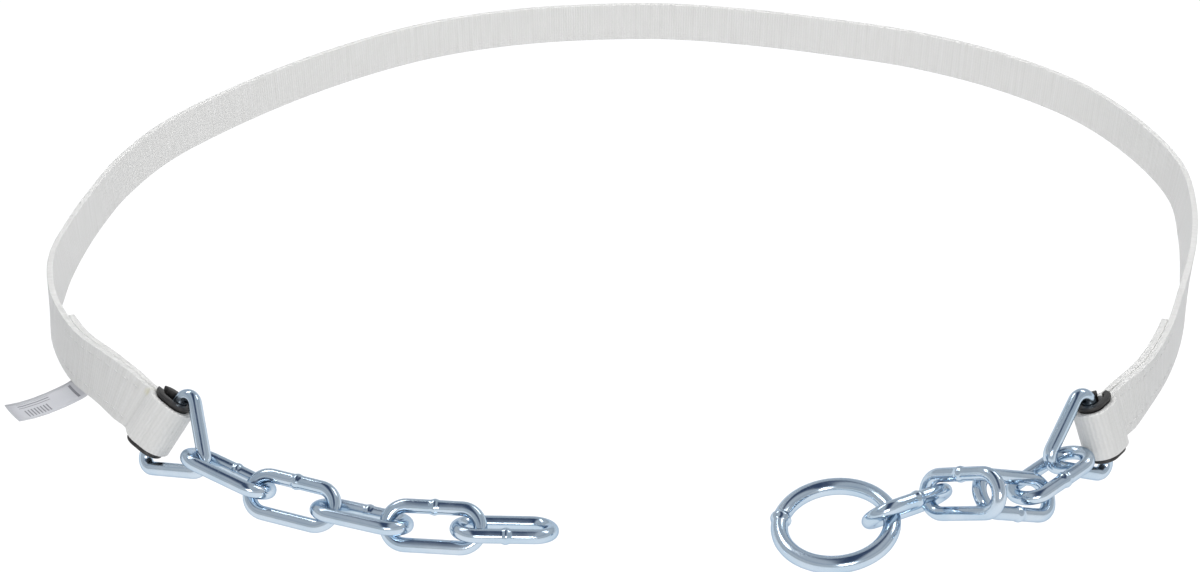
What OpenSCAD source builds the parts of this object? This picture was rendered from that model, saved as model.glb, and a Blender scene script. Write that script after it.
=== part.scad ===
// Cattle tie chain. A webbing neck strap stands on its edge in a wide open loop. Each end is folded
// round a liner and sewn down, and its liner turns on the straight bar of a welded triangle ring.
// The left triangle ring carries a chain that ends in a free link. The right one carries a shorter
// chain that ends in the large round ring, to which the strap is tied.
// Sizes are in millimetres. X runs to the right, Y away from the viewer and Z up.
// The origin lies on the floor, under the middle of the whole piece.

/* [Webbing strap] */
// Width of the webbing
strap_w = 23.5; // [21:0.5:28]
// Thickness of one ply of webbing
strap_t = 3; // [2.4:0.1:3.4]
// Length of each end that is folded back and sewn down
tail_len = 68; // [55:1:85]
// Space between the two plies at a sewn end
ply_gap = 0.6; // [0.5:0.1:0.8]
// Gap between the webbing and the liner that it is folded round
fold_gap = 0.2; // [0.1:0.05:0.3]
// Length from the last stitch of the seam to the start of the liner
throat_len = 2.5; // [2.5:0.5:5]

/* [Liners] */
// Length of a liner along the strap
liner_len = 15; // [14.5:0.5:18]
// Wall of a liner
liner_wall = 1.6; // [1.2:0.1:2]
// How far a liner stands proud of each edge of the webbing
liner_proud = 1.7; // [1:0.1:2.2]
// Width of the slot in a liner, which faces the strap
liner_slot = 3.2; // [2.5:0.1:3.6]
// Gap between the bar of a triangle ring and the liner's bearing end
bar_gap = 0.3; // [0.3:0.05:0.5]
// Gap between the bar of a triangle ring and the liner's sides
bar_side_gap = 0.6; // [0.5:0.1:0.8]

/* [Triangle rings] */
// Wire of a triangle ring
tri_wire = 6; // [5:0.5:6.5]
// Length from the bar to the far corner, between wire centres
tri_reach = 28; // [26:0.5:30]
// Bend radius at the two ends of the bar, to the wire's centre
tri_bar_bend = 4.5; // [4.5:0.5:5.5]
// Bend radius at the far corner, to the wire's centre
tri_tip_bend = 5.5; // [5.5:0.5:6.5]
// Gap between each end of a liner and the bend of the triangle ring
tri_end_gap = 0.75; // [0.5:0.05:1.2]

/* [Chain links] */
// Wire of a chain link
link_wire = 6; // [5:0.5:6]
// Inner length of a link
link_inner_l = 33; // [30:0.5:36]
// Inner width of a link
link_inner_w = 10; // [10:0.5:11]
// Diameter of the weld swelling on a link
link_weld = 7; // [6.6:0.1:7.2]

/* [Round ring] */
// Wire of the round ring
ring_wire = 7.2; // [6.6:0.1:7.2]
// Inner diameter of the round ring
ring_inner = 39; // [36:1:44]
// Diameter of the weld swelling on the round ring
ring_weld = 9; // [8.6:0.1:9.4]

/* [Tag and seams] */
// Width of the tag, along the strap
tag_w = 16; // [12:1:18]
// Thickness of the tag
tag_t = 0.25; // [0.2:0.05:0.3]
// Thickness of the sewing thread
thread_d = 0.8; // [0.6:0.1:1]
// Length of one stitch
stitch_len = 4; // [3:0.5:5]
// Distance from stitch to stitch
stitch_step = 6; // [5.5:0.5:8]
// Distance from the edge of the webbing to the line of stitches
seam_inset = 4; // [3:0.5:6]

/* [Hidden] */
$fn = 48;

webbing_white = "#dcdcda";
liner_black = "#17130f";
zinc = "#9fb6c8";
tag_white = "#e6e6ea";

// Route of the strap's middle line, from the left fold round to the right fold.
// Each point gives X, Y, the lift of the lower edge off the floor and the inward lean in degrees.
route = [
    [-215.2, -168.9, 14.2, 30], [-233.2, -153, 17.6, 22], [-252.8, -131.6, 16.4, 16],
    [-269.9, -98.6, 14.8, 8], [-278.6, -59.8, 10.4, -4], [-280.9, -22, 5.3, -2], [-279.5, 17.5, 0.8, 0],
    [-272, 56, 0, 0], [-253, 98, 0, 0], [-212, 148, 0, 0], [-168, 188, 0, 0], [-122, 218, 0, 0],
    [-73, 236, 0, 0], [-24, 244, 0, 0], [27, 245, 0, 0], [77, 236.5, 0, 0], [125, 223, 0, 0],
    [172, 206, 0, 0], [217, 179, 0, 0], [256, 141, 0, 0], [279, 97, 0, 0], [290, 50.1, 0.1, -2],
    [285.3, 7.2, 1.1, -6], [273.2, -38.4, 3.8, -3], [257.6, -82.6, 6.2, 8], [240.7, -121.4, 10.4, 9],
    [223.6, -149.4, 10.9, 10], [205.8, -170.2, 10.9, 24]
];
// Heading and dip of the strap where it runs into each fold
left_heading = -30.8;
left_dip = 23.9;
right_heading = -133.1;
right_dip = 3.1;
// Swing of each triangle ring on its liner, inward from the strap's line
left_swing = -17.2;
right_swing = 12.7;
steps_per_span = 3;
// Rest pose of each link, from the triangle ring outwards. Each row gives the turn of the link in plan,
// its roll, its play behind the piece that carries it, the direction of that play in plan, and how much
// higher its near and far ends are than in a link that lies on the floor.
left_links = [
    [-25, -31, 1, -38, 8.4, 1.5], [-20, 44, 1.4, -11, 0, 0], [-18, -26, 1, -19, 2.1, 2],
    [-6, 46, 1.9, -9, 0, 0.7], [5, 159, 3.6, 0, 3.9, 0.1]
];
right_links = [
    [217, 18, 11.2, 208, 8.9, 4.6], [204, -37, 8.2, 196, -1.7, 13.4], [136, 115, 6.1, 114, 20.3, -0.2],
    [213, 57, 1.3, 197, -1, 3.8]
];
// Rest pose of the round ring: turn in plan, play in the last link, direction of that play in plan,
// and the height of the wire's centre where it passes through that link
ring_rest = [192, 3.95, 220, 12.3];
// Turn of the ring's weld, from the side away from the chain
ring_weld_turn = -30;

// Place of the tag, measured along the strap from the left fold, its turn in plan from straight outwards,
// and the height up the webbing's width to which it is sewn in. Its route runs from the lower edge
// outwards, and each point gives the distance outwards and the drop.
tag_place = 45;
tag_turn = -18;
tag_root = -5;
tag_route = [[0.6, 0.8], [1.8, 1.8], [4, 2.9], [8, 4.2], [13, 5.6], [19, 6.9], [25.5, 7.7], [32, 7.6]];

// Worked-out sizes
ply_step = strap_t + ply_gap;
fold_mid = ply_step / 2;
liner_inner = tri_wire + 2 * bar_side_gap;
liner_deep = liner_inner + 2 * liner_wall;
liner_near = throat_len + liner_deep / 2;
liner_far = liner_near + liner_len - liner_deep;
bar_place = liner_far + bar_side_gap - bar_gap;
fold_r = liner_deep / 2 + fold_gap + strap_t / 2;
tri_bend_w = strap_w / 2 + liner_proud + tri_end_gap;
link_r = (link_inner_w + link_wire) / 2;
link_half = (link_inner_l + link_wire) / 2;
ring_r = (ring_inner + ring_wire) / 2;

// Vectors. A heading is a turn in plan and a dip below the horizontal.
function unit(v) = v / norm(v);
function heading(turn, dip) = [cos(turn) * cos(dip), sin(turn) * cos(dip), -sin(dip)];
function xyz(v) = [v.x, v.y, v.z];

// The strap's middle line is a smooth curve through the route, with the lean as a fourth value.
// The shift sets the whole piece's box over the origin.
shift = [-4.4, 2.2, 0.22];
knots = [
    for (p = route)
        let (height = p[2] + strap_w / 2 * cos(p[3]) + strap_t / 2 * sin(p[3]))
        [p.x + shift.x, p.y + shift.y, height + shift.z, p[3]]
];
last = len(knots) - 1;
start_way = -heading(left_heading, left_dip);
end_way = heading(right_heading, right_dip);
function before_first() =
    let (step = 2 * norm(xyz(knots[1]) - xyz(knots[0])) * start_way)
    [knots[1].x - step.x, knots[1].y - step.y, knots[1].z - step.z, knots[0][3]];
function after_last() =
    let (step = 2 * norm(xyz(knots[last]) - xyz(knots[last - 1])) * end_way)
    [knots[last - 1].x + step.x, knots[last - 1].y + step.y, knots[last - 1].z + step.z, knots[last][3]];
function knot(i) = i < 0 ? before_first() : i > last ? after_last() : knots[i];
function curve(a, b, c, d, t) =
    (2 * b + (c - a) * t + (2 * a - 5 * b + 4 * c - d) * t * t + (3 * b - a - 3 * c + d) * t * t * t) / 2;
function curve_slope(a, b, c, d, t) =
    ((c - a) + 2 * (2 * a - 5 * b + 4 * c - d) * t + 3 * (3 * b - a - 3 * c + d) * t * t) / 2;
spans = [for (i = [0 : last - 1], k = [0 : steps_per_span - 1]) [i, k / steps_per_span], [last - 1, 1]];
line_points = [for (s = spans) curve(knot(s[0] - 1), knot(s[0]), knot(s[0] + 1), knot(s[0] + 2), s[1])];
line_ways = [
    for (s = spans)
        unit(xyz(curve_slope(knot(s[0] - 1), knot(s[0]), knot(s[0] + 1), knot(s[0] + 2), s[1])))
];
line_end = len(line_points) - 1;
function step_length(j) = j < line_end ? norm(xyz(line_points[j + 1]) - xyz(line_points[j])) : 0;
line_lengths = [for (j = 0, s = 0; j <= line_end; s = s + step_length(j), j = j + 1) s];
strap_run = line_lengths[line_end];
function along(s, values, axis) = lookup(s, [for (j = [0 : line_end]) [line_lengths[j], values[j][axis]]]);

// A frame holds a place and three directions: along the strap, across its face to the inner side,
// and up its width
function strap_frame(s) =
    let (
        at = [for (axis = [0 : 2]) along(s, line_points, axis)],
        way = unit([for (axis = [0 : 2]) along(s, line_ways, axis)]),
        lean = along(s, line_points, 3),
        level = unit(cross(way, [0, 0, 1])),
        up = cross(level, way)
    )
    [at, way, cos(lean) * level - sin(lean) * up, cos(lean) * up + sin(lean) * level];

// A fold's own axes: X along the strap towards the chain, Z up the strap's width. The hand is 1 on the
// left and -1 on the right, and times Y it points to the inner side.
function fold_axes(hand) =
    let (f = strap_frame(hand > 0 ? 0 : strap_run))
    [f[0], -hand * f[1], hand * f[2], f[3]];
function fold_point(hand, p) =
    let (f = fold_axes(hand))
    f[0] + p.x * f[1] + p.y * f[2] + p.z * f[3];
module at_fold(hand) {
    f = fold_axes(hand);
    multmatrix([
        [f[1].x, f[2].x, f[3].x, f[0].x],
        [f[1].y, f[2].y, f[3].y, f[0].y],
        [f[1].z, f[2].z, f[3].z, f[0].z],
        [0, 0, 0, 1]
    ])
        children();
}

// Webbing, swept as one closed ribbon. A ring holds a centre, the direction that faces the liner,
// and the direction up the width.
edge_bend = strap_t / 3;
function ribbon_section(ring) =
    let (t = strap_t / 2, w = strap_w / 2, b = edge_bend, c = edge_bend * (1 - sqrt(0.5)))
    [
        for (p = [
            [t, w - b], [t - c, w - c], [t - b, w], [b - t, w], [c - t, w - c], [-t, w - b],
            [-t, b - w], [c - t, c - w], [b - t, -w], [t - b, -w], [t - c, c - w], [t, b - w]
        ])
            ring[0] + p.x * ring[1] + p.y * ring[2]
    ];
section_n = 12;
middle_steps = 82;
tail_steps = 9;
fold_steps = 12;
throat_start = 3;
mitre = asin(fold_r / norm([liner_near, fold_mid])) - atan2(fold_mid, liner_near);

// The fold as seen along the width: out from the seam, round the liner and back to the seam
function fold_outline() = [
    [0, 0, 270 - mitre / 2],
    for (k = [0 : 4]) [liner_near, fold_mid, 270 - mitre + mitre * k / 4, fold_r],
    for (k = [0 : fold_steps]) [liner_far, fold_mid, 270 + 180 * k / fold_steps, fold_r],
    for (k = [0 : 4]) [liner_near, fold_mid, 90 + mitre * k / 4, fold_r],
    [0, ply_step, 90 + mitre / 2]
];
function fold_ring(hand, p) =
    let (
        f = strap_frame(hand > 0 ? 0 : strap_run),
        out = cos(p[2]) * -hand * f[1] + sin(p[2]) * f[2],
        reach = len(p) > 3 ? p[3] : 0
    )
    [f[0] - hand * p[0] * f[1] + p[1] * f[2] + reach * out, -out, f[3]];
function tail_ring(s) =
    let (f = strap_frame(s))
    [f[0] + ply_step * f[2], -f[2], f[3]];
function main_ring(s) =
    let (f = strap_frame(s))
    [f[0], f[2], f[3]];
function tail_place(k) = throat_start + (tail_len - throat_start) * k / tail_steps;
tail_places = [for (k = [0 : tail_steps]) tail_place(k)];
main_places = concat(
    tail_places,
    [for (k = [1 : middle_steps - 1]) tail_len + (strap_run - 2 * tail_len) * k / middle_steps],
    [for (k = [tail_steps : -1 : 0]) strap_run - tail_place(k)]
);
function backwards(list) = [for (i = [len(list) - 1 : -1 : 0]) list[i]];
module webbing_strap() {
    outline = fold_outline();
    rings = concat(
        [for (s = backwards(tail_places)) tail_ring(s)],
        [for (p = backwards(outline)) fold_ring(1, p)],
        [for (s = main_places) main_ring(s)],
        [for (p = outline) fold_ring(-1, p)],
        [for (s = tail_places) tail_ring(strap_run - s)]
    );
    sections = [for (r = rings) ribbon_section(r)];
    points = [for (s = sections, p = s) p];
    n = section_n;
    walls = [
        for (i = [0 : len(rings) - 2], j = [0 : n - 1])
            let (a = i * n + j, b = i * n + (j + 1) % n)
            each [[a, b, b + n], [a, b + n, a + n]]
    ];
    caps = [[for (j = [n - 1 : -1 : 0]) j], [for (j = [0 : n - 1]) (len(rings) - 1) * n + j]];
    color(webbing_white) polyhedron(points, concat(walls, caps), convexity = 10);
}

// Liner: an oval strip that is open on the side that faces the strap
module oval(length, deep) {
    for (side = [-1, 1])
        translate([side * (length - deep) / 2, 0]) circle(d = deep);
    square([length - deep, deep], center = true);
}
module liner(hand) {
    color(liner_black)
    at_fold(hand)
    translate([(liner_near + liner_far) / 2, hand * fold_mid, -strap_w / 2 - liner_proud])
    linear_extrude(strap_w + 2 * liner_proud)
    difference() {
        oval(liner_len, liner_deep);
        oval(liner_len - 2 * liner_wall, liner_inner);
        translate([-liner_len, hand * liner_slot / 4 - liner_slot / 2]) square([liner_len, liner_slot]);
    }
}
module left_liner() { liner(1); }
module right_liner() { liner(-1); }

// Round wire in the XY plane: a straight bar between two points, and a bend about a centre
module wire_bar(from, to, wire) {
    translate([from.x, from.y, 0])
    rotate([0, 90, atan2(to.y - from.y, to.x - from.x)])
    cylinder(h = norm(to - from), d = wire);
}
module wire_bend(centre, radius, from, to, wire) {
    translate([centre.x, centre.y, 0])
    rotate([0, 0, from])
    rotate_extrude(angle = to - from) translate([radius, 0]) circle(d = wire);
}
function turned(centre, radius, angle) = centre + radius * [cos(angle), sin(angle)];

// Triangle ring: a belt of wire round two bar bends and one far bend, with the bar's middle at the origin,
// the bar along Z and the far corner on +X
bar_bend_at = [tri_bar_bend, tri_bend_w];
tip_bend_at = [tri_reach - tri_tip_bend, 0];
leg_run = tip_bend_at - bar_bend_at;
leg_normal = atan2(leg_run.y, leg_run.x) + acos((tri_bar_bend - tri_tip_bend) / norm(leg_run));
leg_near = turned(bar_bend_at, tri_bar_bend, leg_normal);
leg_far = turned(tip_bend_at, tri_tip_bend, leg_normal);
module triangle_ring(hand) {
    color(zinc)
    at_fold(hand)
    translate([bar_place, hand * fold_mid, 0])
    rotate([90, 0, hand * (hand > 0 ? left_swing : right_swing)])
    union() {
        wire_bar([0, -tri_bend_w], [0, tri_bend_w], tri_wire);
        wire_bend(tip_bend_at, tri_tip_bend, -leg_normal, leg_normal, tri_wire);
        for (side = [0, 1]) mirror([0, side, 0]) {
            wire_bend(bar_bend_at, tri_bar_bend, leg_normal, 180, tri_wire);
            wire_bar(leg_near, leg_far, tri_wire);
            for (p = [[0, tri_bend_w], leg_near, leg_far])
                translate([p.x, p.y, 0]) sphere(d = tri_wire + 0.06);
        }
    }
}
module left_triangle_ring() { triangle_ring(1); }
module right_triangle_ring() { triangle_ring(-1); }
function tip_point(hand) =
    let (swing = hand > 0 ? left_swing : right_swing)
    fold_point(hand, [bar_place + tri_reach * cos(swing), hand * (fold_mid + tri_reach * sin(swing)), 0]);

// Chain link in the XY plane, with its length along X and its weld on the side at +Y
module link() {
    straight = link_half - link_r;
    for (side = [-1, 1]) {
        wire_bar([-straight, side * link_r], [straight, side * link_r], link_wire);
        wire_bend([side * straight, 0], link_r, -90 * side, 180 - 90 * side, link_wire);
    }
    translate([0, link_r, 0]) rotate([0, 90, 0]) sphere(d = link_weld);
}

// Places of the links. Each row gives the centre, the turn, the dip, the roll and the far end's wire centre.
function lying_height(roll) = link_wire / 2 + link_r * abs(sin(roll));
function link_place(from, wire, pose) =
    let (
        play = (wire + link_wire) / 2 + pose[2],
        dip = asin((pose[4] - pose[5]) / (2 * link_half)),
        way = heading(pose[0], dip),
        near = [from.x - play * cos(pose[3]), from.y - play * sin(pose[3]), lying_height(pose[1]) + pose[4]]
    )
    [near + link_half * way, pose[0], dip, pose[1], near + 2 * link_half * way];
function chain_places(from, wire, poses, i = 0) =
    i == len(poses) ? [] :
    let (place = link_place(from, wire, poses[i]))
    concat([place], chain_places(place[4], link_wire, poses, i + 1));
left_places = chain_places(tip_point(1), tri_wire, left_links);
right_places = chain_places(tip_point(-1), tri_wire, right_links);
module placed_link(place) {
    color(zinc)
    translate(place[0]) rotate([place[3], place[2], place[1]]) link();
}
module left_link_1() { placed_link(left_places[0]); }
module left_link_2() { placed_link(left_places[1]); }
module left_link_3() { placed_link(left_places[2]); }
module left_link_4() { placed_link(left_places[3]); }
module left_link_5() { placed_link(left_places[4]); }
module right_link_1() { placed_link(right_places[0]); }
module right_link_2() { placed_link(right_places[1]); }
module right_link_3() { placed_link(right_places[2]); }
module right_link_4() { placed_link(right_places[3]); }

// Round ring, with its weld near the side away from the chain
ring_play = (ring_wire + link_wire) / 2 + ring_rest[1];
ring_near = [
    right_places[3][4].x - ring_play * cos(ring_rest[2]),
    right_places[3][4].y - ring_play * sin(ring_rest[2]),
    ring_rest[3]
];
ring_dip = asin((ring_rest[3] - ring_weld / 2) / (2 * ring_r));
module round_ring() {
    color(zinc)
    translate(ring_near + ring_r * heading(ring_rest[0], ring_dip))
    rotate([0, ring_dip, ring_rest[0]])
    union() {
        rotate_extrude($fn = 96) translate([ring_r, 0]) circle(d = ring_wire);
        rotate([0, 0, ring_weld_turn]) translate([ring_r, 0, 0]) rotate([90, 0, 0]) sphere(d = ring_weld);
    }
}

// Tag: a thin strip that hangs out from between the plies at the left end, sewn into the seam. It is a
// grid of points: rows go from its root between the plies outwards, and columns follow the strap's curve.
tag_columns = 4;
tag_middle = strap_frame(tag_place);
tag_way = atan2(-tag_middle[2].y, -tag_middle[2].x) + tag_turn;
tag_out = [cos(tag_way), sin(tag_way), 0];
tag_rows = concat([[tag_root, 0, 0], [1 - strap_w / 2, 0, 0]], [for (p = tag_route) [-strap_w / 2, p[0], p[1]]]);
tag_last = len(tag_rows) - 1;
function tag_point(i, j) =
    let (
        row = tag_rows[min(max(i, 0), tag_last)],
        f = strap_frame(tag_place + tag_w * (j / tag_columns - 0.5))
    )
    f[0] + fold_mid * f[2] + row[0] * f[3] + row[1] * tag_out - row[2] * [0, 0, 1];
function tag_normal(i, j) =
    unit(cross(tag_point(min(i + 1, tag_last), j) - tag_point(max(i - 1, 0), j),
        tag_point(i, min(j + 1, tag_columns)) - tag_point(i, max(j - 1, 0))));
module sewn_tag() {
    n = tag_columns + 1;
    face = (tag_last + 1) * n;
    points = [
        for (side = [-1, 1], i = [0 : tag_last], j = [0 : tag_columns])
            tag_point(i, j) + side * tag_t / 2 * tag_normal(i, j)
    ];
    sheets = [
        for (i = [0 : tag_last - 1], j = [0 : tag_columns - 1])
            let (a = i * n + j)
            each [
                [a, a + n, a + n + 1], [a, a + n + 1, a + 1],
                [face + a, face + a + n + 1, face + a + n], [face + a, face + a + 1, face + a + n + 1]
            ]
    ];
    border = concat(
        [for (j = [0 : tag_columns]) j],
        [for (i = [1 : tag_last]) i * n + tag_columns],
        [for (j = [tag_columns - 1 : -1 : 0]) tag_last * n + j],
        [for (i = [tag_last - 1 : -1 : 1]) i * n]
    );
    rim = [
        for (k = [0 : len(border) - 1])
            let (a = border[k], b = border[(k + 1) % len(border)])
            each [[a, b, face + b], [a, face + b, face + a]]
    ];
    color(tag_white) polyhedron(points, concat(sheets, rim), convexity = 10);
}

// Seams: two lines of stitches down each doubled end, on both of its faces. A small gap keeps each straight
// stitch clear of the curved webbing.
stitch_gap = 0.25;
stitch_lift = strap_t / 2 + thread_d / 2 + stitch_gap;
stitch_count = floor((tail_len - 2 * throat_start - stitch_len) / stitch_step);
module stitch(from, to) {
    run = to - from;
    translate(from)
    rotate([0, acos(run.z / norm(run)), atan2(run.y, run.x)])
    cylinder(h = norm(run), d = thread_d, $fn = 8);
}
function seam_point(s, depth, width) =
    let (f = strap_frame(s))
    f[0] + depth * f[2] + width * f[3];
module seam_thread(hand) {
    for (k = [0 : stitch_count], side = [-1, 1], depth = [-stitch_lift, ply_step + stitch_lift]) {
        near = throat_start + 1 + k * stitch_step;
        from = hand > 0 ? near : strap_run - near;
        width = side * (strap_w / 2 - seam_inset);
        color(webbing_white)
        stitch(seam_point(from, depth, width), seam_point(from + hand * stitch_len, depth, width));
    }
}
module left_seam_thread() { seam_thread(1); }
module right_seam_thread() { seam_thread(-1); }

webbing_strap();
left_liner();
right_liner();
left_seam_thread();
right_seam_thread();
sewn_tag();
left_triangle_ring();
left_link_1();
left_link_2();
left_link_3();
left_link_4();
left_link_5();
right_triangle_ring();
right_link_1();
right_link_2();
right_link_3();
right_link_4();
round_ring();
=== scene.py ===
# %% [markdown]
# # A cattle tie chain
#
# A white webbing strap goes round the animal's neck. Each end is folded round a black liner, and
# the bar of a welded triangle ring runs through it. Short zinc-plated chains lead to a free link
# and to a tie ring. Here every piece is placed over its exact solid, and then gets the detail and
# the finish of the real one.

# %% Load the exact model
import math

import bmesh
import bpy
from mathutils import Matrix, Vector


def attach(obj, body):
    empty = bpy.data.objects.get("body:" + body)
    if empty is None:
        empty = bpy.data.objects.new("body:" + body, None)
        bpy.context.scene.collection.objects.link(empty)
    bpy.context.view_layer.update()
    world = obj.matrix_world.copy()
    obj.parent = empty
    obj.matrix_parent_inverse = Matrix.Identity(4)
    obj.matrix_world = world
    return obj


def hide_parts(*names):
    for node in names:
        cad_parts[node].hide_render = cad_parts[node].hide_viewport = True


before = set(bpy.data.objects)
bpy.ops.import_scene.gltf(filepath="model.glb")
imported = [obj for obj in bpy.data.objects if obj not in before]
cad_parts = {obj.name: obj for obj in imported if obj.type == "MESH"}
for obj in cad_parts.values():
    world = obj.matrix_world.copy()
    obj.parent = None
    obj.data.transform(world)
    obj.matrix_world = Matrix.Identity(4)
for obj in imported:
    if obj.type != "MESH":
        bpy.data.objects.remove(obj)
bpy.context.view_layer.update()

MM = 0.001

# %% [markdown]
# ## Camera
#
# The picture was taken from in front and above, at about 34 degrees down, from just under a metre
# away. A 55 mm lens on a 36 mm sensor gives the same perspective: the chains in front are drawn
# half as large again as the back of the strap.

# %% Camera
camera = bpy.data.objects.new("camera", bpy.data.cameras.new("camera"))
bpy.context.scene.collection.objects.link(camera)
camera.data.lens = 55.15
camera.data.sensor_width = 36
camera.location = (-0.0214, -0.7983, 0.5078)
camera.rotation_euler = (math.radians(56.44), 0, 0)
bpy.context.scene.camera = camera
bpy.context.scene.view_settings.view_transform = "Standard"
print("camera at", [round(x, 3) for x in camera.location])

# %% [markdown]
# ## Floor and light
#
# The object lies in an even white space without any edge. The white table top is drawn a chain's
# length lower, so that it hides nothing where the chains are shown swung down. It looks almost
# white to the camera and in reflections, and still takes the soft shadow. The space beyond it is
# white too, and the metal mirrors that white up to a little over the horizon. Higher up stands the
# pale room, which gives most of the light. One soft lamp in front adds to it, and one over the
# middle makes the inner face of the strap a little brighter. Two long thin lamps behind draw white
# lines on the wire, and the dark gap between them draws the navy ones.


# %% Helpers for materials
def new_material(name):
    material = bpy.data.materials.new(name)
    material.use_nodes = True
    tree = material.node_tree
    tree.nodes.clear()
    out = tree.nodes.new("ShaderNodeOutputMaterial")
    return material, tree, out


def node(tree, kind, inputs=None, **settings):
    """A node with its settings, and with a link or a constant on each input that is named."""
    made = tree.nodes.new("ShaderNode" + kind)
    for key, value in settings.items():
        setattr(made, key, value)
    for key, value in (inputs or {}).items():
        if isinstance(value, bpy.types.NodeSocket):
            tree.links.new(value, made.inputs[key])
        else:
            made.inputs[key].default_value = value
    return made


def maths(tree, operation, a, b=None, c=None, clamp=False):
    inputs = {i: v for i, v in enumerate((a, b, c)) if v is not None}
    return node(tree, "Math", inputs, operation=operation, use_clamp=clamp).outputs[0]


def ripple(tree, value, turn):
    """The sine of a value, turning by so many radians for each 1 of it."""
    return maths(tree, "SINE", maths(tree, "MULTIPLY", value, turn))


def mix_colour(tree, factor, a, b):
    return node(tree, "Mix", {0: factor, 6: a, 7: b}, data_type="RGBA").outputs[2]


def steps(tree, value, stops):
    """A ramp from stop to stop, each a place and a colour or a plain number."""
    ramp = tree.nodes.new("ShaderNodeValToRGB")
    tree.links.new(value, ramp.inputs[0])
    while len(ramp.color_ramp.elements) < len(stops):
        ramp.color_ramp.elements.new(0.5)
    for element, (place, colour) in zip(ramp.color_ramp.elements, stops):
        element.position = place
        element.color = colour if hasattr(colour, "__len__") else (colour, colour, colour, 1)
    return ramp.outputs[0]


def noise(tree, where, scale, detail=2.0):
    inputs = {"Vector": where, "Scale": scale, "Detail": detail}
    return node(tree, "TexNoise", inputs).outputs[0]


def bumps(tree, height, strength, distance):
    inputs = {"Height": height, "Strength": strength, "Distance": distance}
    return node(tree, "Bump", inputs).outputs[0]


def surface(tree, out, inputs):
    """The material's one shader, joined to its output."""
    tree.links.new(node(tree, "BsdfPrincipled", inputs).outputs[0], out.inputs[0])


# %% Floor
TABLE_REACH, TABLE_DROP = 6, 0.21

floor_material, tree, out = new_material("white_table")
rays = node(tree, "LightPath").outputs
diffuse = node(tree, "BsdfDiffuse", {"Color": (0.86, 0.86, 0.87, 1)}).outputs[0]
glow = node(tree, "Emission", {"Color": (1, 1, 1, 1), "Strength": 0.86}).outputs[0]
shade = node(tree, "BsdfDiffuse", {"Color": (0.22, 0.22, 0.22, 1)}).outputs[0]
bright = node(tree, "AddShader", {0: glow, 1: shade}).outputs[0]
mirrored = maths(tree, "MAXIMUM", rays["Is Glossy Ray"], rays["Is Transmission Ray"])
seen = maths(tree, "MAXIMUM", rays["Is Camera Ray"], mirrored)
mixed = node(tree, "MixShader", {0: seen, 1: diffuse, 2: bright}).outputs[0]
tree.links.new(mixed, out.inputs[0])

floor_mesh = bpy.data.meshes.new("table_top")
shape = bmesh.new()
bmesh.ops.create_grid(shape, x_segments=1, y_segments=1, size=TABLE_REACH)
bmesh.ops.translate(shape, vec=(0, 0, -TABLE_DROP), verts=shape.verts)
shape.to_mesh(floor_mesh)
shape.free()
table_top = bpy.data.objects.new("table_top", floor_mesh)
bpy.context.scene.collection.objects.link(table_top)
floor_mesh.materials.append(floor_material)
print("table top:", [round(x, 1) for x in table_top.dimensions])

# %% Room
world = bpy.data.worlds.new("studio")
bpy.context.scene.world = world
world.use_nodes = True
tree = world.node_tree
tree.nodes.clear()
out = tree.nodes.new("ShaderNodeOutputWorld")
way = node(tree, "SeparateXYZ", {0: node(tree, "TexCoord").outputs["Generated"]}).outputs
walls = steps(
    tree,
    way["Z"],
    [
        (0.0, (0.4, 0.44, 0.5, 1)),
        (0.25, (0.66, 0.67, 0.69, 1)),
        (0.45, (0.74, 0.75, 0.76, 1)),
        (0.6, (0.5, 0.54, 0.6, 1)),
        (0.8, (0.66, 0.68, 0.71, 1)),
    ],
)
overhead = steps(tree, way["Z"], [(0.74, 0.0), (0.8, 1.0)])
between_lamps = steps(tree, maths(tree, "ABSOLUTE", way["X"]), [(0.16, 1.0), (0.32, 0.0)])
dark_gap = maths(tree, "MULTIPLY", overhead, between_lamps)
room = mix_colour(tree, dark_gap, walls, (0.06, 0.09, 0.16, 1))
soft = node(tree, "Background", {"Color": room, "Strength": 0.84}).outputs[0]
white = node(tree, "Background", {"Color": (1, 1, 1, 1), "Strength": 1}).outputs[0]
rays = node(tree, "LightPath").outputs
low = steps(tree, way["Z"], [(0.08, 1.0), (0.14, 0.0)])
mirrored = maths(tree, "MULTIPLY", rays["Is Glossy Ray"], low)
seen = maths(tree, "MAXIMUM", rays["Is Camera Ray"], rays["Is Transmission Ray"])
backdrop = maths(tree, "MAXIMUM", seen, mirrored)
mixed = node(tree, "MixShader", {0: backdrop, 1: soft, 2: white}).outputs[0]
tree.links.new(mixed, out.inputs[0])
print("room nodes:", len(tree.nodes))


# %% Lamps
def lamp(name, place, target, size, watts):
    light = bpy.data.lights.new(name, "AREA")
    light.shape = "RECTANGLE"
    light.size, light.size_y = size
    light.energy = watts
    made = bpy.data.objects.new(name, light)
    made.location = place
    aim = Vector(target) - Vector(place)
    made.rotation_euler = aim.to_track_quat("-Z", "Y").to_euler()
    bpy.context.scene.collection.objects.link(made)
    return made


lamp("key_lamp", (0.3, -3.2, 1.7), (0, 0, 0), (1.2, 0.7), 44)
inner_lamp = lamp("middle_lamp", (0, 0.05, 0.85), (0, 0.05, 0), (0.5, 0.4), 3.2)
inner_lamp.visible_glossy = False
lamp("left_strip_lamp", (-0.85, 0.8, 1.3), (0, -0.1, 0), (1.0, 0.25), 4)
lamp("right_strip_lamp", (1.05, 0.8, 1.3), (0, -0.1, 0), (1.0, 0.25), 4)
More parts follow.
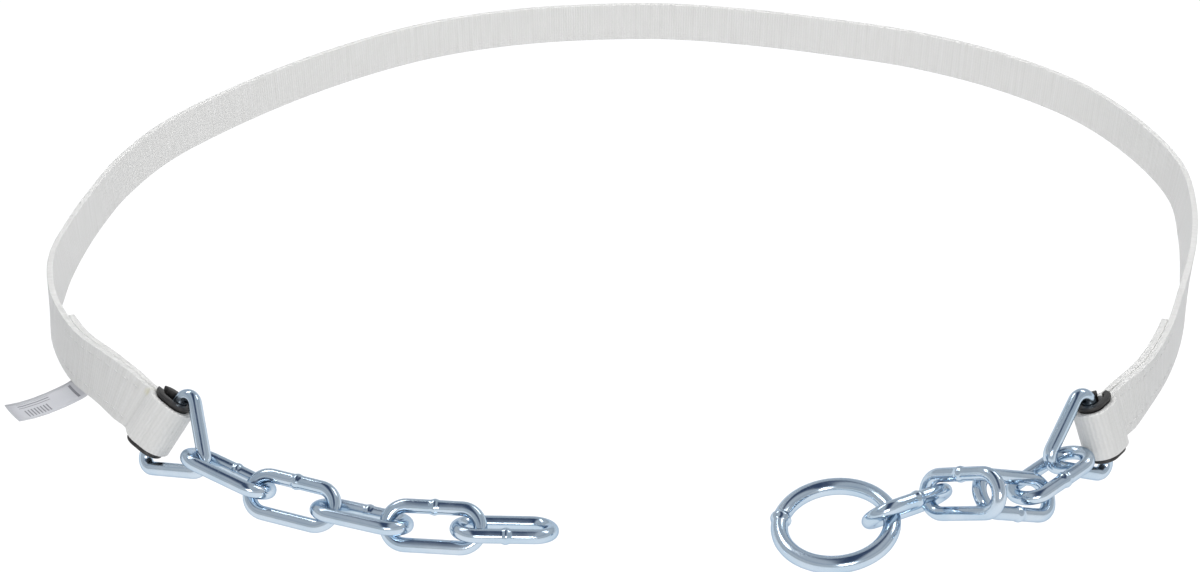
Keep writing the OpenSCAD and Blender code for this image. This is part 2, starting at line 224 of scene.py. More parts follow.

# %% [markdown]
# ## The line of the strap
#
# Webbing is stiff across its width and bends only along its length, so its shape is one smooth line
# with a lean. The same points as in the exact model give it: across, away, the lift of the
# lower edge, and the lean in degrees. Both ends leave in the way that their folds point.

# %% Sizes and route, in millimetres
STRAP_W, STRAP_T, TAIL, THROAT = 23.5, 3, 68, 2.5
LINER_LEN, LINER_DEEP, LINER_PROUD = 15, 10.4, 1.7
BAR_SIDE_GAP, BAR_GAP, END_GAP = 0.6, 0.3, 0.75
PLY_GAP, LINER_GAP = 0.6, 0.2
HALF = STRAP_W / 2
PLY_STEP = STRAP_T + PLY_GAP
FOLD_R = LINER_DEEP / 2 + LINER_GAP + STRAP_T / 2
LINER_NEAR = THROAT + LINER_DEEP / 2
LINER_FAR = LINER_NEAR + LINER_LEN - LINER_DEEP
BAR_AT = LINER_FAR + BAR_SIDE_GAP - BAR_GAP
ROUTE = [
    (-215.2, -168.9, 14.2, 30), (-233.2, -153, 17.6, 22), (-252.8, -131.6, 16.4, 16),
    (-269.9, -98.6, 14.8, 8), (-278.6, -59.8, 10.4, -4), (-280.9, -22, 5.3, -2),
    (-279.5, 17.5, 0.8, 0), (-272, 56, 0, 0), (-253, 98, 0, 0), (-212, 148, 0, 0),
    (-168, 188, 0, 0), (-122, 218, 0, 0), (-73, 236, 0, 0), (-24, 244, 0, 0), (27, 245, 0, 0),
    (77, 236.5, 0, 0), (125, 223, 0, 0), (172, 206, 0, 0), (217, 179, 0, 0), (256, 141, 0, 0),
    (279, 97, 0, 0), (290, 50.1, 0.1, -2), (285.3, 7.2, 1.1, -6), (273.2, -38.4, 3.8, -3),
    (257.6, -82.6, 6.2, 8), (240.7, -121.4, 10.4, 9), (223.6, -149.4, 10.9, 10),
    (205.8, -170.2, 10.9, 24),
]
LEFT_WAY, RIGHT_WAY = (-30.8, 23.9), (-133.1, 3.1)
SHIFT = Vector((-4.4, 2.2, 0.22))


def heading(turn, dip):
    turn, dip = math.radians(turn), math.radians(dip)
    return Vector((math.cos(turn) * math.cos(dip), math.sin(turn) * math.cos(dip), -math.sin(dip)))


def knot(x, y, lift, lean):
    """A point on the middle of the webbing, with its lean as the fourth number."""
    a = math.radians(lean)
    height = lift + HALF * math.cos(a) + STRAP_T / 2 * math.sin(a)
    return Vector((x + SHIFT.x, y + SHIFT.y, height + SHIFT.z, lean))


knots = [knot(*row) for row in ROUTE]
first_step = 2 * (knots[1] - knots[0]).xyz.length * -heading(*LEFT_WAY)
last_step = 2 * (knots[-1] - knots[-2]).xyz.length * heading(*RIGHT_WAY)
before = (knots[1].xyz - first_step).to_4d()
after = (knots[-2].xyz + last_step).to_4d()
before.w, after.w = knots[0].w, knots[-1].w
knots = [before] + knots + [after]
print("knots:", len(knots), "first at", [round(v) for v in knots[1]])

# %% A smooth line through the route
FINE = 24
END_REACH, PROBE = 0.5, 2


def smooth(a, b, c, d, t):
    """From b to c as t goes from 0 to 1, with a before them and d after them."""
    square = (2 * a - 5 * b + 4 * c - d) * t**2
    cube = (3 * b - a - 3 * c + d) * t**3
    return (2 * b + (c - a) * t + square + cube) / 2


spans = range(len(knots) - 3)
line = [smooth(*knots[i : i + 4], k / FINE) for i in spans for k in range(FINE)]
line.append(knots[-2])
lengths = [0.0]
for a, b in zip(line, line[1:]):
    lengths.append(lengths[-1] + (b - a).xyz.length)
RUN = lengths[-1]
print("length between the folds, mm:", round(RUN, 1))


# %% Axes along the line
def line_at(s):
    s = min(max(s, 0), RUN)
    i = min(max(sum(1 for v in lengths if v <= s) - 1, 0), len(line) - 2)
    t = (s - lengths[i]) / (lengths[i + 1] - lengths[i])
    return line[i].lerp(line[i + 1], t)


def strap_frame(s):
    """Place, way along, inward across the face, and up the width."""
    at, lean = line_at(s), math.radians(line_at(s).w)
    if s <= END_REACH:
        way = -heading(*LEFT_WAY)
    elif s >= RUN - END_REACH:
        way = heading(*RIGHT_WAY)
    else:
        way = (line_at(s + PROBE).xyz - line_at(s - PROBE).xyz).normalized()
    level = way.cross(Vector((0, 0, 1))).normalized()
    upright = level.cross(way)
    inward = math.cos(lean) * level - math.sin(lean) * upright
    return at.xyz, way, inward, math.cos(lean) * upright + math.sin(lean) * level


def placing(origin, x, y, z):
    """A matrix that puts a drawing in millimetres on those axes, in metres."""
    made = Matrix((x, y, z)).transposed().to_4x4()
    made.translation = origin
    return Matrix.Scale(MM, 4) @ made


def fold_matrix(hand):
    """The fold's own axes: X to the chain, Z up the width. The hand is 1 left and -1 right."""
    at, way, inward, width = strap_frame(0 if hand > 0 else RUN)
    return placing(at, -hand * way, hand * inward, width)


print("left fold at", [round(v / MM, 1) for v in fold_matrix(1).translation])

# %% [markdown]
# ## Webbing
#
# The strap is one ribbon: back along each sewn end, round the liner, and along the whole loop. A
# short row of points across the width is extruded from place to place down this line. Solidify then
# gives the ribbon its thickness, and Bevel rounds its edges as on woven selvedge. The ribbon keeps
# the length along and the place across as its UV map, so that the weave follows every bend.

# %% The stations of the ribbon
MITRE_STEPS, ROUND_STEPS = 6, 32
FOLD_CLEAR, TAIL_STEP, LOOP_STEP = 3, 4, 7
SEWN_GAP, SEWN_FROM, SEWN_OVER = 0.05, 10, 7


def ease(x):
    """Rises smoothly from 0 to 1 as x does, and stays there outside."""
    x = min(max(x, 0), 1)
    return x * x * (3 - 2 * x)


def fold_stations(hand):
    """Round the liner, from the inner ply to the main ply, as seen along the width."""
    near, far = (LINER_NEAR, PLY_STEP / 2), (LINER_FAR, PLY_STEP / 2)
    mitre = math.degrees(math.asin(FOLD_R / math.hypot(*near)) - math.atan2(near[1], near[0]))
    parts = [k / MITRE_STEPS for k in range(MITRE_STEPS + 1)]
    rows = [(0, PLY_STEP, 90 + mitre / 2, 0)]
    rows += [(*near, 90 + mitre * (1 - part), FOLD_R) for part in parts]
    rows += [(*far, 90 - 180 * k / ROUND_STEPS, FOLD_R) for k in range(ROUND_STEPS + 1)]
    rows += [(*near, -90 - mitre * part, FOLD_R) for part in parts]
    rows += [(0, 0, -90 - mitre / 2, 0)]
    at, way, inward, width = strap_frame(0 if hand > 0 else RUN)
    made = []
    for x, y, angle, reach in rows:
        a = math.radians(angle)
        out_way = math.cos(a) * -hand * way + math.sin(a) * inward
        made.append((at - hand * x * way + y * inward + reach * out_way, width))
    return made


def ply_station(s, lift):
    at, _, inward, width = strap_frame(s)
    return at + lift * inward, width


def span(start, end, step):
    count = max(1, round(abs(end - start) / step))
    return [start + (end - start) * k / count for k in range(count + 1)]


def sewn_step(from_fold):
    """Stitches pull the two plies together behind the fold."""
    return STRAP_T + SEWN_GAP + (PLY_GAP - SEWN_GAP) * ease((SEWN_FROM - from_fold) / SEWN_OVER)


stations = [ply_station(s, sewn_step(s)) for s in span(TAIL, FOLD_CLEAR, TAIL_STEP)]
stations += fold_stations(1)
crease_row = len(stations) - 1
stations += [ply_station(s, 0) for s in span(FOLD_CLEAR, RUN - FOLD_CLEAR, LOOP_STEP)]
stations += fold_stations(-1)[::-1]
for s in span(RUN - FOLD_CLEAR, RUN - TAIL, TAIL_STEP):
    stations.append(ply_station(s, sewn_step(RUN - s)))
print("stations:", len(stations))


# %% Helpers for pieces and ribbons
def piece(name, shape, material, body, solid):
    """A finished bmesh becomes a piece on its body, in the place of one exact solid."""
    mesh = bpy.data.meshes.new(name)
    shape.to_mesh(mesh)
    shape.free()
    for polygon in mesh.polygons:
        polygon.use_smooth = True
    mesh.materials.append(material)
    made = bpy.data.objects.new(name, mesh)
    bpy.context.scene.collection.objects.link(made)
    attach(made, body)
    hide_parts(solid)
    return made


def ribbon(rows, across):
    """Extrudes a row of points from place to place, and keeps the millimetres as its UV map."""
    shape = bmesh.new()
    uv = shape.loops.layers.uv.new("UVMap")
    chain = [shape.verts.new(point) for point in rows[0]]
    edges = [shape.edges.new(pair) for pair in zip(chain, chain[1:])]
    middle = len(across) // 2
    travelled = [0.0]
    place = {v: (0.0, w) for v, w in zip(chain, across)}
    for before_row, row in zip(rows, rows[1:]):
        travelled.append(travelled[-1] + (row[middle] - before_row[middle]).length)
        made = bmesh.ops.extrude_edge_only(shape, edges=edges)["geom"]
        edges = [g for g in made if isinstance(g, bmesh.types.BMEdge)]
        fresh = {v for e in edges for v in e.verts}
        chain = [
            next(e.other_vert(v) for e in v.link_edges if e.other_vert(v) in fresh) for v in chain
        ]
        for v, point, w in zip(chain, row, across):
            v.co = point
            place[v] = (travelled[-1], w)
    for face in shape.faces:
        for loop in face.loops:
            loop[uv].uv = place[loop.vert]
    bmesh.ops.scale(shape, vec=(MM, MM, MM), verts=shape.verts)
    bmesh.ops.recalc_face_normals(shape, faces=shape.faces)
    return shape, travelled


# %% Extrude the strap
PINCH, PINCH_FROM, PINCH_OVER = 0.075, 20, 8
fold_middles = []
for hand in (1, -1):
    middle = Vector(((LINER_NEAR + LINER_FAR) / 2, hand * PLY_STEP / 2, 0))
    fold_middles.append(fold_matrix(hand) @ middle / MM)


def pinch(at):
    """The webbing is drawn a little narrower where it is pulled round a liner."""
    away = min((at - middle).length for middle in fold_middles)
    return 1 - PINCH * ease((PINCH_FROM - away) / PINCH_OVER)


columns = [HALF * k for k in (-1, -0.96, -0.84, -0.56, -0.28, 0, 0.28, 0.56, 0.84, 0.96, 1)]
strap_rows = [[at + width * w * pinch(at) for w in columns] for at, width in stations]
strap_shape, strap_travel = ribbon(strap_rows, columns)
print("ribbon length, mm:", round(strap_travel[-1], 1), "faces:", len(strap_shape.faces))

# %% [markdown]
# The weave of such webbing shows as fine ribs across and cords along, each less than two
# millimetres apart, with streaks of lighter and darker yarn across. It is off-white nylon with a
# soft sheen. A painted shadow line darkens the left crease, beside a small yellow spot. Everything
# here reads the UV map in millimetres.

# %% Webbing material
RIB_PITCH, CORD_PITCH, RIB_WANDER = 1.5, 1.9, 1.2

webbing, tree, out = new_material("white_webbing")
uv = node(tree, "UVMap", uv_map="UVMap").outputs[0]
place = node(tree, "SeparateXYZ", {0: uv}).outputs
along, across = place["X"], place["Y"]
wander = maths(tree, "MULTIPLY", noise(tree, uv, 0.35), RIB_WANDER)
rib = ripple(tree, maths(tree, "ADD", along, wander), 2 * math.pi / RIB_PITCH)
cord = ripple(tree, across, 2 * math.pi / CORD_PITCH)
stretched = node(
    tree,
    "CombineXYZ",
    {"X": maths(tree, "MULTIPLY", along, 0.45), "Y": maths(tree, "MULTIPLY", across, 0.02)},
).outputs[0]
streaks = noise(tree, stretched, 1.0, 3.0)
pale = steps(
    tree,
    streaks,
    [
        (0.3, (0.698, 0.685, 0.654, 1)),
        (0.52, (0.734, 0.721, 0.692, 1)),
        (0.75, (0.767, 0.754, 0.73, 1)),
    ],
)
between_ribs = maths(tree, "MULTIPLY_ADD", rib, 0.06, 0.06)
ribbed = mix_colour(tree, between_ribs, pale, (0.5, 0.5, 0.48, 1))


def spot(low, high, from_along, from_across):
    """1 at a place on the webbing, fading to 0 between two distances in millimetres."""
    a = maths(tree, "SUBTRACT", along, from_along)
    b = maths(tree, "SUBTRACT", across, from_across)
    away = maths(tree, "SQRT", maths(tree, "MULTIPLY_ADD", b, b, maths(tree, "MULTIPLY", a, a)))
    return maths(tree, "DIVIDE", maths(tree, "SUBTRACT", high, away), high - low, clamp=True)


CREASE = strap_travel[crease_row]
# Painted shade: the webbing is drawn darker in a thin line along the left crease, for the fold's
# shadow.
from_crease = maths(tree, "ABSOLUTE", maths(tree, "SUBTRACT", along, CREASE))
crease_shadow = maths(tree, "MULTIPLY_ADD", from_crease, -1.1, 1.0, clamp=True)
crease_shaded = mix_colour(tree, maths(tree, "MULTIPLY", crease_shadow, 0.3), ribbed, (0.42, 0.41, 0.39, 1))
yellow = maths(tree, "MULTIPLY", spot(0.5, 2.6, CREASE, HALF - 2), 0.4)
surface(
    tree,
    out,
    {
        "Base Color": mix_colour(tree, yellow, crease_shaded, (0.62, 0.58, 0.3, 1)),
        "Roughness": 0.62,
        "Sheen Weight": 0.15,
        "Sheen Roughness": 0.4,
        "Normal": bumps(tree, maths(tree, "MULTIPLY_ADD", cord, 0.35, rib), 0.3, 0.0002),
    },
)
print("webbing material nodes:", len(tree.nodes))

# %% The finished strap
SELVEDGE = 0.001

strap = piece("webbing", strap_shape, webbing, "strap", "webbing_strap")
thick = strap.modifiers.new("thickness", "SOLIDIFY")
thick.thickness, thick.offset, thick.use_even_offset = STRAP_T * MM, 0, True
round_edge = strap.modifiers.new("selvedge", "BEVEL")
round_edge.width, round_edge.segments, round_edge.limit_method = SELVEDGE, 3, "ANGLE"
round_edge.angle_limit = math.radians(60)
print("strap modifiers:", [m.name for m in strap.modifiers])

# %% [markdown]
# ## Wire pieces
#
# Links, triangle rings and the round ring are all bent from round bar and welded shut. A circle of
# points is the bar's section. It is extruded along each straight part and spun round each bend
# until it meets its start, where the doubles are merged. The weld is a short swelling of the bar.

# %% Bend round bar
SIDES = 20
MERGE = 0.001


def section(shape, at, way, wire):
    turn = Vector((0, 0, 1)).rotation_difference(way).to_matrix().to_4x4()
    place = Matrix.Translation(at) @ turn
    made = bmesh.ops.create_circle(shape, segments=SIDES, radius=wire / 2, matrix=place)
    return list(dict.fromkeys(e for v in made["verts"] for e in v.link_edges))


def run(shape, edges, way, count):
    for _ in range(count):
        made = bmesh.ops.extrude_edge_only(shape, edges=edges)["geom"]
        edges = [g for g in made if isinstance(g, bmesh.types.BMEdge)]
        ends = list(dict.fromkeys(v for e in edges for v in e.verts))
        bmesh.ops.translate(shape, vec=way / count, verts=ends)
    return edges


def bend(shape, edges, centre, angle, count):
    made = bmesh.ops.spin(
        shape,
        geom=edges,
        cent=centre,
        axis=(0, 0, 1),
        angle=math.radians(angle),
        steps=count,
        use_merge=False,
    )
    return [g for g in made["geom_last"] if isinstance(g, bmesh.types.BMEdge)]


def close_up(shape):
    bmesh.ops.remove_doubles(shape, verts=shape.verts, dist=MERGE)
    bmesh.ops.recalc_face_normals(shape, faces=shape.faces)


def swell(shape, centre_of, reach, grow):
    """Swells the bar where centre_of(place) gives its middle and distance from the weld."""
    for v in shape.verts:
        middle, away = centre_of(v.co)
        if abs(away) < reach:
            more = grow * math.cos(away / reach * math.pi / 2) ** 2
            v.co = middle + (v.co - middle) * (1 + more)


def wire_piece(name, shape, matrix, body, solid):
    bmesh.ops.transform(shape, matrix=matrix, verts=shape.verts)
    return piece(name, shape, zinc, body, solid)


print("sides round the bar:", SIDES)

# %% [markdown]
# The steel is bright zinc plate with a blue passivation. It is a metal with a low roughness, a
# colour that drifts between blue and grey, and faint pits that soften the reflections.

# %% Zinc plate
zinc, tree, out = new_material("blue_zinc")
here = node(tree, "TexCoord").outputs["Object"]
grain = noise(tree, here, 260.0)
tint = steps(
    tree,
    noise(tree, here, 70.0, 3.0),
    [
        (0.3, (0.5, 0.62, 0.73, 1)),
        (0.55, (0.56, 0.66, 0.76, 1)),
        (0.75, (0.62, 0.7, 0.78, 1)),
    ],
)
surface(
    tree,
    out,
    {
        "Base Color": tint,
        "Metallic": 1.0,
        "Roughness": steps(tree, grain, [(0.35, 0.14), (0.7, 0.2)]),
        "Specular Tint": (0.5, 0.58, 0.68, 1),
        "Normal": bumps(tree, grain, 0.03, 0.0002),
    },
)
print("zinc nodes:", len(tree.nodes))

# %% [markdown]
# Each chain hangs from the far corner of its triangle ring, so every place follows from the piece
# before it. The rest poses are the exact model's own. A row gives a link's turn in plan, its roll,
# its play behind the wire that carries it, the direction of that play, and how much higher its near
# and far ends are than in a link that lies on the floor.

# %% Rest poses of the rings and links, in millimetres and degrees
TRI_WIRE, TRI_REACH, BAR_BEND, TIP_BEND = 6, 28, 4.5, 5.5
LINK_WIRE, LINK_R, LINK_STRAIGHT, LINK_WELD = 6, 8, 11.5, 7
LINK_HALF = LINK_STRAIGHT + LINK_R
SWINGS = {1: -17.2, -1: -12.7}
LEFT_LINKS = [
    (-25, -31, 1, -38, 8.4, 1.5), (-20, 44, 1.4, -11, 0, 0), (-18, -26, 1, -19, 2.1, 2),
    (-6, 46, 1.9, -9, 0, 0.7), (5, 159, 3.6, 0, 3.9, 0.1),
]
RIGHT_LINKS = [
    (217, 18, 11.2, 208, 8.9, 4.6), (204, -37, 8.2, 196, -1.7, 13.4),
    (136, 115, 6.1, 114, 20.3, -0.2), (213, 57, 1.3, 197, -1, 3.8),
]


def triangle_place(hand):
    """The triangle ring's bar lies in the liner, and the ring swings about it."""
    return (
        fold_matrix(hand)
        @ Matrix.Translation((BAR_AT, hand * PLY_STEP / 2, 0))
        @ Matrix.Rotation(math.radians(SWINGS[hand]), 4, "Z")
        @ Matrix.Rotation(math.radians(90), 4, "X")
    )


def turned_place(centre, turn, dip, roll):
    made = Matrix.Translation(centre)
    for angle, axis in zip((turn, dip, roll), "ZYX"):
        made = made @ Matrix.Rotation(math.radians(angle), 4, axis)
    return Matrix.Scale(MM, 4) @ made


def hung_from(carrier, wires, play, play_way, height):
    """The near end's wire middle, behind the carrier's by both half wires and the play."""
    back = (sum(wires) / 2 + play) * heading(play_way, 0)
    return Vector((carrier.x - back.x, carrier.y - back.y, height))


def chain_places(hand, rows):
    """Each link's centre, turn, dip and roll, and the middle of the last one's far wire."""
    places = []
    far, wire = triangle_place(hand) @ Vector((TRI_REACH, 0, 0)) / MM, TRI_WIRE
    for turn, roll, play, play_way, near_up, far_up in rows:
        height = LINK_WIRE / 2 + LINK_R * abs(math.sin(math.radians(roll))) + near_up
        near = hung_from(far, (wire, LINK_WIRE), play, play_way, height)
        dip = math.degrees(math.asin((near_up - far_up) / (2 * LINK_HALF)))
        far, wire = near + 2 * LINK_HALF * heading(turn, dip), LINK_WIRE
        places.append(((near + far) / 2, turn, dip, roll))
    return places, far


left_places, _ = chain_places(1, LEFT_LINKS)
right_places, right_end = chain_places(-1, RIGHT_LINKS)
print("right chain ends at", [round(v, 1) for v in right_end])

# %% [markdown]
# Each link is drawn flat, with its weld on the +Y side.

# %% Chain links
WELD_SPAN, WELD_REACH = 5, 2.2


def from_link_weld(co):
    return Vector((co.x, LINK_R, 0)), co.x if co.y > 0 else math.inf


def link_shape():
    shape = bmesh.new()
    plain = Vector((LINK_STRAIGHT - WELD_SPAN / 2, 0, 0))
    edges = section(shape, (-LINK_STRAIGHT, LINK_R, 0), Vector((1, 0, 0)), LINK_WIRE)
    edges = run(shape, edges, plain, 2)
    edges = run(shape, edges, Vector((WELD_SPAN, 0, 0)), 10)
    edges = run(shape, edges, plain, 2)
    edges = bend(shape, edges, (LINK_STRAIGHT, 0, 0), -180, 20)
    edges = run(shape, edges, Vector((-2 * LINK_STRAIGHT, 0, 0)), 4)
    bend(shape, edges, (-LINK_STRAIGHT, 0, 0), -180, 20)
    close_up(shape)
    swell(shape, from_link_weld, WELD_REACH, LINK_WELD / LINK_WIRE - 1)
    return shape


for side, places in (("left", left_places), ("right", right_places)):
    for number, pose in enumerate(places, 1):
        name = f"{side}_link_{number}"
        link = wire_piece(name + "_bar", link_shape(), turned_place(*pose), name, name)
print("links:", len(left_places + right_places), "faces each:", len(link.data.polygons))

# %% Triangle rings
BEND_W = HALF + LINER_PROUD + END_GAP


def triangle_shape():
    """Drawn with the bar's middle at the origin, the bar along Y and the far corner on +X."""
    bar_bend = Vector((BAR_BEND, BEND_W, 0))
    tip_bend = Vector((TRI_REACH - TIP_BEND, 0, 0))
    leg = tip_bend - bar_bend
    normal = math.atan2(leg.y, leg.x) + math.acos((BAR_BEND - TIP_BEND) / leg.length)
    side = Vector((math.cos(normal), math.sin(normal), 0))
    down_leg = (tip_bend + TIP_BEND * side) - (bar_bend + BAR_BEND * side)
    degrees = math.degrees(normal)
    shape = bmesh.new()
    edges = section(shape, (0, -BEND_W, 0), Vector((0, 1, 0)), TRI_WIRE)
    edges = run(shape, edges, Vector((0, 2 * BEND_W, 0)), 6)
    edges = bend(shape, edges, bar_bend, degrees - 180, 12)
    edges = run(shape, edges, down_leg, 4)
    edges = bend(shape, edges, tip_bend, -2 * degrees, 16)
    edges = run(shape, edges, Vector((-down_leg.x, down_leg.y, 0)), 4)
    bend(shape, edges, (BAR_BEND, -BEND_W, 0), degrees - 180, 12)
    close_up(shape)
    return shape


for name, hand in (("left_triangle", 1), ("right_triangle", -1)):
    place = triangle_place(hand)
    triangle = wire_piece(name + "_bar", triangle_shape(), place, name, name + "_ring")
print("triangle rings: 2, faces each:", len(triangle.data.polygons))

# %% Round ring
RING_WIRE, RING_R, RING_WELD, WELD_TURN = 7.2, 23.1, 9, -30
RING_WELD_SPAN, RING_WELD_REACH = 8, 2.6
RING_TURN, RING_PLAY, RING_PLAY_WAY, RING_HEIGHT = 192, 3.95, 220, 12.3

shape = bmesh.new()
start = Matrix.Rotation(math.radians(WELD_TURN), 3, "Z")
edges = section(shape, start @ Vector((RING_R, 0, 0)), start @ Vector((0, 1, 0)), RING_WIRE)
edges = bend(shape, edges, (0, 0, 0), RING_WELD_SPAN, 12)
edges = bend(shape, edges, (0, 0, 0), 360 - 2 * RING_WELD_SPAN, 86)
bend(shape, edges, (0, 0, 0), RING_WELD_SPAN, 12)
close_up(shape)


def from_ring_weld(co):
    angle = math.atan2(co.y, co.x)
    middle = Vector((RING_R * math.cos(angle), RING_R * math.sin(angle), 0))
    return middle, RING_R * (angle - math.radians(WELD_TURN))


swell(shape, from_ring_weld, RING_WELD_REACH, RING_WELD / RING_WIRE - 1)
near = hung_from(right_end, (LINK_WIRE, RING_WIRE), RING_PLAY, RING_PLAY_WAY, RING_HEIGHT)
dip = math.degrees(math.asin((RING_HEIGHT - RING_WELD / 2) / (2 * RING_R)))
place = turned_place(near + RING_R * heading(RING_TURN, dip), RING_TURN, dip, 0)
wire_piece("tie_ring_bar", shape, place, "round_ring", "round_ring")
print("round ring outside, mm:", round(2 * RING_R + RING_WIRE, 1))

# %% [markdown]
# ## Liners
#
# Each liner is a strip of black rubbery plastic, bent to an oval that is open towards the strap.
# The exact solids have the right shape, so a copy of each is merged. Its two rims are flared to a
# thin lip that shows past the webbing, and its sharp edges are rounded.

# %% Black liner material
black, tree, out = new_material("black_liner")
scuff = noise(tree, node(tree, "TexCoord").outputs["Object"], 260.0, 4.0)
dark = steps(tree, scuff, [(0.35, (0.012, 0.011, 0.011, 1)), (0.7, (0.035, 0.032, 0.03, 1))])
dull = steps(tree, scuff, [(0.3, 0.38), (0.75, 0.6)])
surface(tree, out, {"Base Color": dark, "Roughness": dull})
print("liner nodes:", len(tree.nodes))

# %% Flared copies of the liners
FLARE, EDGE_ROUND = 1.3, 0.0003
RIM_CUTS = (HALF - 0.7, HALF - 0.2, HALF + 0.5)
OUTER_WALL = LINER_DEEP / 2 - 0.4
SAME_PLACE = 1e-6


def merged_copy(name):
    shape = bmesh.new()
    shape.from_mesh(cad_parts[name].data)
    bmesh.ops.remove_doubles(shape, verts=shape.verts, dist=SAME_PLACE)
    bmesh.ops.dissolve_limit(
        shape, angle_limit=math.radians(1), verts=shape.verts, edges=shape.edges
    )
    return shape


def flare_rims(shape, hand):
    """Cuts rings near both ends, and pushes the outer wall outwards there as a rounded lip."""
    place = fold_matrix(hand)
    back = place.inverted()
    for w in RIM_CUTS + tuple(-w for w in RIM_CUTS):
        bmesh.ops.bisect_plane(
            shape,
            geom=shape.verts[:] + shape.edges[:] + shape.faces[:],
            plane_co=place @ Vector((0, 0, w)),
            plane_no=place.col[2].xyz.normalized(),
            dist=SAME_PLACE,
        )
    for v in shape.verts:
        at = back @ v.co
        middle = Vector((min(max(at.x, LINER_NEAR), LINER_FAR), hand * PLY_STEP / 2, at.z))
        out_way = at - middle
        if out_way.length < OUTER_WALL:
            continue
        push = min(max((abs(at.z) - RIM_CUTS[0]) / (RIM_CUTS[2] - RIM_CUTS[0]), 0), 1)
        v.co = place @ (at + out_way.normalized() * FLARE * math.sin(push * math.pi / 2))


def is_sharp(edge):
    return len(edge.link_faces) == 2 and edge.calc_face_angle() > math.radians(50)


for name, hand in (("left_liner", 1), ("right_liner", -1)):
    shape = merged_copy(name)
    flare_rims(shape, hand)
    sharp = [e for e in shape.edges if is_sharp(e)]
    bmesh.ops.bevel(
        shape,
        geom=sharp,
        offset=EDGE_ROUND,
        offset_type="OFFSET",
        segments=3,
        profile=0.5,
        affect="EDGES",
        material=-1,
    )
    piece(name + "_strip", shape, black, "strap", name)
    print(name, "edges rounded:", len(sharp))

# %% [markdown]
# ## Seams
#
# The doubled ends are held by two rows of stitches on each face, hardly seen in the same white.
# Each stitch is a grain-shaped bead of twisted thread that dips into the webbing at its ends.

# %% White thread
thread, tree, out = new_material("white_thread")
here = node(tree, "TexCoord").outputs["Object"]
twist = node(tree, "TexWave", {"Vector": here, "Scale": 420.0, "Distortion": 2.0}).outputs[0]
ply = steps(tree, twist, [(0.0, (0.64, 0.63, 0.61, 1)), (1.0, (0.7, 0.69, 0.67, 1))])
surface(
    tree,
    out,
    {
        "Base Color": ply,
        "Roughness": 0.55,
        "Sheen Weight": 0.1,
        "Normal": bumps(tree, twist, 0.3, 0.0001),
    },
)
print("thread nodes:", len(tree.nodes))

# %% Stitches
STITCHES, FIRST_STITCH, STITCH_STEP, ROW_INSET = 10, 4, 6, 4
BEAD = (2, 0.27, 0.36)


def seam(hand):
    """Two rows on each face. BEAD is half a stitch's size along, off and across the webbing."""
    shape = bmesh.new()
    for k in range(STITCHES):
        from_fold = FIRST_STITCH + STITCH_STEP * k + BEAD[0]
        at, way, inward, width = strap_frame(from_fold if hand > 0 else RUN - from_fold)
        for side in (ROW_INSET - HALF, HALF - ROW_INSET):
            for off in (-STRAP_T / 2, sewn_step(from_fold) + STRAP_T / 2):
                middle = at + off * inward + side * width
                place = placing(middle, way, inward, way.cross(inward))
                made = bmesh.ops.create_uvsphere(shape, u_segments=8, v_segments=6, radius=1)
                bmesh.ops.scale(shape, vec=BEAD, verts=made["verts"])
                bmesh.ops.transform(shape, matrix=place, verts=made["verts"])
    return shape


for name, hand in (("left_seam_thread", 1), ("right_seam_thread", -1)):
    made = piece(name + "_stitches", seam(hand), thread, "strap", name)
    print(name, "faces:", len(made.data.polygons))

# %% [markdown]
# ## Tag
#
# A thin white tape is sewn in between the plies at the left end and sticks out under the lower
# edge. It carries only plain grey marks here. The tape is a ribbon too, bent in a gentle arch.

# %% Tag ribbon
TAG_AT, TAG_W, TAG_T, TAG_TURN = 45, 16, 0.25, -18
TAG_ROUTE = [
    (0.6, 0.8), (1.8, 1.8), (4, 2.9), (8, 4.2), (13, 5.6), (19, 6.9), (25.5, 7.7), (32, 7.6),
]
TAG_TOP, TAG_BEND = -5, 1 - HALF

_, _, inward, _ = strap_frame(TAG_AT)
tag_way = math.atan2(-inward.y, -inward.x) + math.radians(TAG_TURN)
tag_out = Vector((math.cos(tag_way), math.sin(tag_way), 0))
tag_places = [(TAG_TOP, 0, 0), (TAG_BEND, 0, 0)]
tag_places += [(-HALF, reach, drop) for reach, drop in TAG_ROUTE]


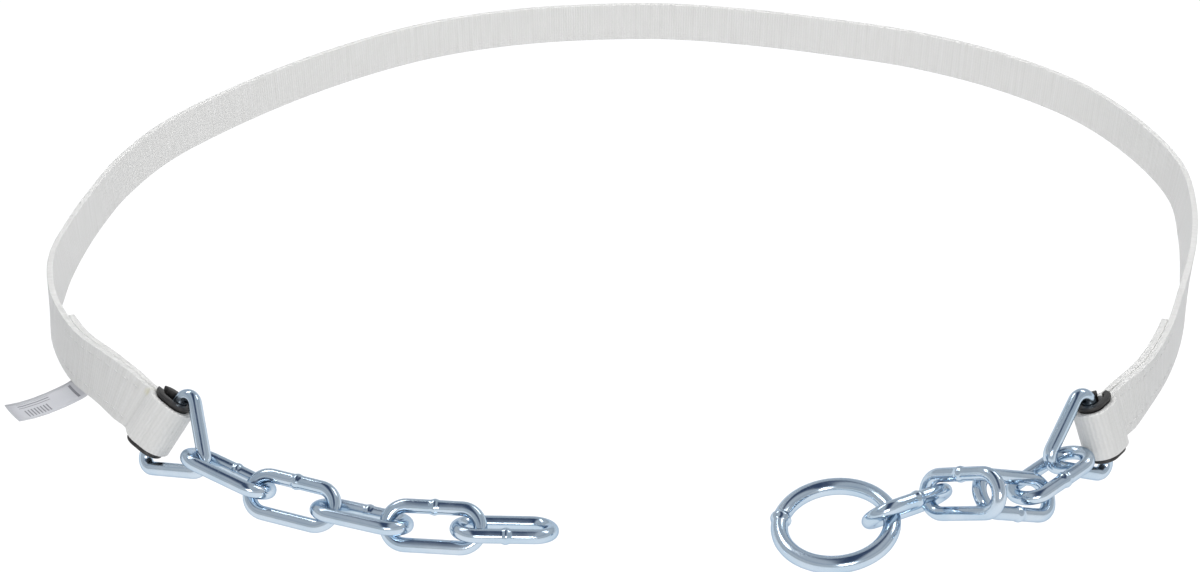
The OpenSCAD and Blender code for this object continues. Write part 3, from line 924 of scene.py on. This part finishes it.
def tag_point(up_width, reach, drop, w):
    """The tape's columns follow the strap's own curve."""
    at, _, inward, width = strap_frame(TAG_AT + w)
    in_seam = at + PLY_STEP / 2 * inward + up_width * width
    return in_seam + reach * tag_out - Vector((0, 0, drop))


tag_columns = [TAG_W * (k / 6 - 0.5) for k in range(7)]
tag_rows = [[tag_point(*place, w) for w in tag_columns] for place in tag_places]
tag_shape, tag_travel = ribbon(tag_rows, tag_columns)
print("tag length, mm:", round(tag_travel[-1], 1))

# %% White tape with plain marks
tape, tree, out = new_material("white_tape")
uv = node(tree, "UVMap", uv_map="UVMap").outputs[0]
place = node(tree, "SeparateXYZ", {0: uv}).outputs


def between(value, low, high):
    over = maths(tree, "GREATER_THAN", value, low)
    return maths(tree, "MULTIPLY", over, maths(tree, "LESS_THAN", value, high))


def patch(x0, x1, y0, y1):
    """1 on a rectangle of the tape, in millimetres along and across it."""
    return maths(tree, "MULTIPLY", between(place["X"], x0, x1), between(place["Y"], y0, y1))


bars = maths(tree, "GREATER_THAN", ripple(tree, place["X"], 4.6), 0.1)
block = maths(tree, "MULTIPLY", patch(24, 35, -6, 0), bars)
rows = maths(tree, "GREATER_THAN", ripple(tree, place["Y"], 3.4), 0.35)
lines = maths(tree, "MULTIPLY", patch(22, 36, 2.2, 5.8), rows)
marks = maths(tree, "MAXIMUM", maths(tree, "MAXIMUM", block, lines), patch(11, 12.2, -5.5, 5.5))
ink = maths(tree, "MULTIPLY", marks, 0.75)
surface(
    tree,
    out,
    {
        "Base Color": mix_colour(tree, ink, (0.6, 0.6, 0.62, 1), (0.12, 0.12, 0.14, 1)),
        "Roughness": 0.5,
        "Normal": bumps(tree, noise(tree, uv, 3.0), 0.1, 0.0001),
    },
)
print("tape nodes:", len(tree.nodes))

# %% The finished tag
tag = piece("tag_tape", tag_shape, tape, "strap", "sewn_tag")
thick = tag.modifiers.new("thickness", "SOLIDIFY")
thick.thickness, thick.offset = TAG_T * MM, 0
print("tag modifiers:", [m.name for m in tag.modifiers])
